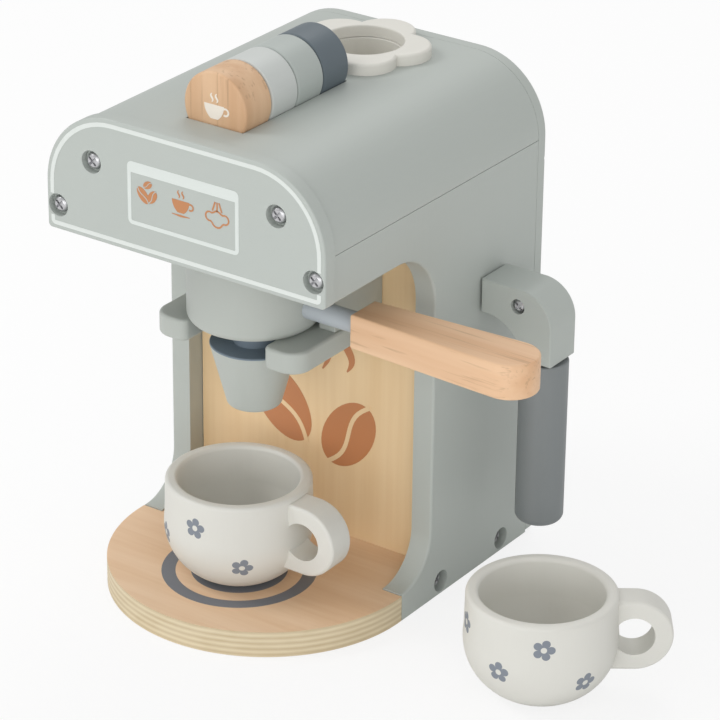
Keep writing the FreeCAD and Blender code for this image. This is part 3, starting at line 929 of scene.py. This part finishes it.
@dataclass
class BoardPrint:
    """A brown print of coffee beans and steam on the backboard."""

    depth: float = 89.4

    def dress(self, paints: Paints) -> None:
        """Prints on the board."""
        face = place(0.0, self.depth, 0.0)
        right, up = Vector((1, 0, 0)), Vector((0, 0, 1))
        ink = FlatPrint("backboard_bean_print", face, right, up, thick=0.08)
        crease = FlatPrint("backboard_bean_creases", face, right, up, thick=0.14)
        Bean(-16.0, 68.0, 13.0, 20.0, 40).draw(ink, crease)
        Bean(20.0, 62.0, 12.0, 18.5, -35).draw(ink, crease)
        for u, v, tall, swing in ((-8.0, 94.0, 24.0, 2.6), (6.0, 90.0, 32.0, 3.2), (19.0, 92.0, 22.0, 2.4)):
            path = wave(u, v, tall, swing, 20)
            ink.stroke(path, [4.2 * math.sin(math.pi * (0.05 + 0.9 * i / 20)) for i in range(21)])
        ink.build(paints.board_ink, "machine")
        crease.build(paints.veneer, "machine")


@dataclass
class Portafilter:
    """Basket, spout, dowel and beech handle.

    Attributes:
        shade_low: Foot of the spout's band of blue-grey paint, darkened as painted shade for the shadow under
            the basket, in mm.
        shade_high: Top of the band.
    """

    shade_low: float = 117.2
    shade_high: float = 129.5

    def dress(self, frame: dict, paints: Paints) -> None:
        """Paints the pieces."""
        softened(frame, "portafilter_basket", "portafilter", 0.0, paints.group)
        softened(frame, "portafilter_dowel", "portafilter", 0.2, paints.mist)
        softened(frame, "portafilter_handle", "portafilter", 0.0, paints.beech_x)
        cone = softened(frame, "portafilter_spout", "drip_spout", 0.0, paints.group)
        cone.data.materials.append(paints.cone_top_painted_shade)
        # Faces between shade_low and shade_high get the blue-grey paint darkened as painted shade, for the
        # shadow under the basket and fork.
        low, high = place(0, 0, self.shade_low).z, place(0, 0, self.shade_high).z
        for face in cone.data.polygons:
            if low < face.center.z < high:
                face.material_index = 1


@dataclass
class SteamWand:
    """Elbow bracket, screw, washer and slate rod."""

    def dress(self, frame: dict, paints: Paints) -> None:
        """Paints the pieces."""
        softened(frame, "wand_bracket", "wand", 0.0, paints.sage_upright)
        softened(frame, "steam_rod", "wand", 0.0, paints.rod)
        repaint(frame["nodes"]["wand_pivot"], paints.beech_x)
        repaint(frame["nodes"]["wand_screw"], paints.steel)
        repaint(frame["nodes"]["wand_washer"], paints.steel)


@dataclass
class PodRow:
    """The four round pods, the front one with a printed cup."""

    front_y: float = 22.2
    middle_z: float = 231.0

    def dress(self, frame: dict, paints: Paints) -> None:
        """Paints the pods and prints the cup."""
        for name, paint in (("beech", paints.beech_z), ("white", paints.white),
                            ("sage", paints.pale_sage), ("slate", paints.slate)):
            softened(frame, "pod_" + name, name + "_pod", 0.0, paint)
        layer = FlatPrint("pod_cup_print", place(0.0, self.front_y, self.middle_z),
                          Vector((1, 0, 0)), Vector((0, 0, 1)))
        CupPictogram(-0.4, -4.4, 10.0, saucer=False).draw(layer)
        layer.build(paints.cream_ink, "beech_pod")


@dataclass
class FlowerWell:
    """Flower collar and the turned well under it."""

    def dress(self, frame: dict, paints: Paints) -> None:
        """Paints the pieces."""
        softened(frame, "flower_collar", "machine", 0.0, paints.cream)
        softened(frame, "hopper_cup", "machine", 0.3, paints.cream)


CUP_OUTLINE = ((0, 15.0), (4, 22.0), (8, 26.1), (12, 28.9), (16, 30.7), (20, 31.8), (24, 32.2),
               (29, 32.0), (36, 31.8), (46, 31.6))


@dataclass
class FlowerCup:
    """A cup with printed flowers.

    Attributes:
        name: The first part of its nodes' names.
        centre: Its foot's middle.
        flowers: Its flowers.
    """

    name: str
    centre: Vector
    flowers: tuple[Flower, ...]

    def dress(self, frame: dict, paints: Paints) -> None:
        """Paints the cup."""
        glaze = FlowerGlaze(self.name + "_flower_paint", self.centre, self.flowers, CUP_OUTLINE).build()
        softened(frame, self.name + "_bowl", self.name, 0.0, glaze)
        softened(frame, self.name + "_handle", self.name, 0.0, paints.cream_cup)


@dataclass
class Studio:
    """Pale floor, soft lamps and the camera."""

    camera_place: Vector = field(default_factory=lambda: Vector((0.79822, -1.10200, 0.75662)))
    azimuth: float = 34.84
    elevation: float = 25.91
    roll: float = 0.62
    lens: float = 175.1
    aim: Vector = field(default_factory=lambda: Vector((0.02, 0.0, 0.10)))
    sky_strength: float = 0.62
    floor_half: float = 6.0
    floor_drop: float = 0.0002
    floor_tone: float = 0.93
    floor_glow: float = 0.8

    def floor(self) -> None:
        """A wide plain floor."""
        shell = bmesh.new()
        bmesh.ops.create_grid(shell, x_segments=1, y_segments=1, size=self.floor_half)
        mesh = bpy.data.meshes.new("floor")
        shell.to_mesh(mesh)
        shell.free()
        book = ShaderBook("pale_floor")
        book.surface((self.floor_tone,) * 3, 0.9)
        seen = book.node("ShaderNodeLightPath", out="Is Camera Ray")
        plain = book.tree.nodes.new("ShaderNodeEmission")
        plain.inputs["Color"].default_value = (1.0, 1.0, 1.0, 1.0)
        plain.inputs["Strength"].default_value = 1.0
        share = seen * self.floor_glow
        mixed = book.node("ShaderNodeMixShader", None, {0: share, 1: Socket(book, book.shader.outputs[0]),
                                                        2: Socket(book, plain.outputs[0])})
        book.tree.links.new(mixed.link, book.tree.nodes["Material Output"].inputs["Surface"])
        mesh.materials.append(book.material)
        ground = bpy.data.objects.new("floor", mesh)
        ground.location = (0, 0, -self.floor_drop)
        bpy.context.scene.collection.objects.link(ground)

    def lamp(self, name: str, spot: tuple[float, float, float], size: float, power: float) -> None:
        """One square lamp that looks at the toy."""
        data = bpy.data.lights.new(name, "AREA")
        data.shape = "SQUARE"
        data.size = size
        data.energy = power
        lamp = bpy.data.objects.new(name, data)
        lamp.location = spot
        lamp.rotation_euler = (self.aim - Vector(spot)).to_track_quat("-Z", "Y").to_euler()
        bpy.context.scene.collection.objects.link(lamp)

    def sky(self) -> None:
        """An even white surround."""
        world = bpy.data.worlds.new("pale_surround")
        world.use_nodes = True
        surround = world.node_tree.nodes["Background"]
        surround.inputs["Color"].default_value = (1.0, 1.0, 1.0, 1.0)
        surround.inputs["Strength"].default_value = self.sky_strength
        bpy.context.scene.world = world

    def camera(self) -> None:
        """The camera at the photograph's angle."""
        data = bpy.data.cameras.new("photo_view")
        data.sensor_width = 36.0
        data.lens = self.lens
        data.clip_start, data.clip_end = 0.05, 30.0
        azimuth, elevation = math.radians(self.azimuth), math.radians(self.elevation)
        back = Vector((math.sin(azimuth) * math.cos(elevation), -math.cos(azimuth) * math.cos(elevation),
                       math.sin(elevation)))
        camera = bpy.data.objects.new("photo_view", data)
        camera.location = self.camera_place
        level = (-back).to_track_quat("-Z", "Y").to_matrix()
        tipped = level @ Matrix.Rotation(math.radians(self.roll), 3, "Z")
        camera.rotation_euler = tipped.to_euler()
        bpy.context.scene.collection.objects.link(camera)
        bpy.context.scene.camera = camera

    def build(self) -> None:
        """Sets up the studio."""
        self.floor()
        self.sky()
        self.lamp("key_lamp", (-1.2, -0.7, 1.4), 0.7, 9.5)
        self.lamp("fill_lamp", (1.3, -1.3, 0.6), 0.9, 5.0)
        self.lamp("front_lamp", (0.3, -1.8, 0.35), 0.9, 6.6)
        self.lamp("top_lamp", (-0.3, 0.9, 1.5), 0.8, 5.0)
        self.camera()
        bpy.context.scene.view_settings.view_transform = "Standard"


def main() -> None:
    """Builds the toy's looks, piece by piece."""
    logging.basicConfig(level=logging.INFO, format="%(name)s: %(message)s")
    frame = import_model()
    paints = Paints()
    Housing().dress(frame, paints)
    Fascia().dress(frame, paints)
    BoardPrint().dress(paints)
    Portafilter().dress(frame, paints)
    SteamWand().dress(frame, paints)
    PodRow().dress(frame, paints)
    FlowerWell().dress(frame, paints)
    FlowerCup("near_cup", place(-0.4, 37.2, 12.3), (
        Flower(-89, 34.0, 10), Flower(-51, 17.5, 0), Flower(-128, 23.0, 20), Flower(-170, 35.0, 5),
        Flower(150, 19.0, 12), Flower(110, 33.0, 0), Flower(66, 20.0, 24))).dress(frame, paints)
    FlowerCup("floor_cup", place(146.8, 48.0, 0.0), (
        Flower(-56, 36.0, 0), Flower(-90, 22.5, 15), Flower(-22, 18.0, 5), Flower(-132, 35.0, 10),
        Flower(-172, 20.0, 0), Flower(148, 34.0, 20), Flower(102, 20.0, 8))).dress(frame, paints)
    Studio().build()


if __name__ == "__main__":
    main()
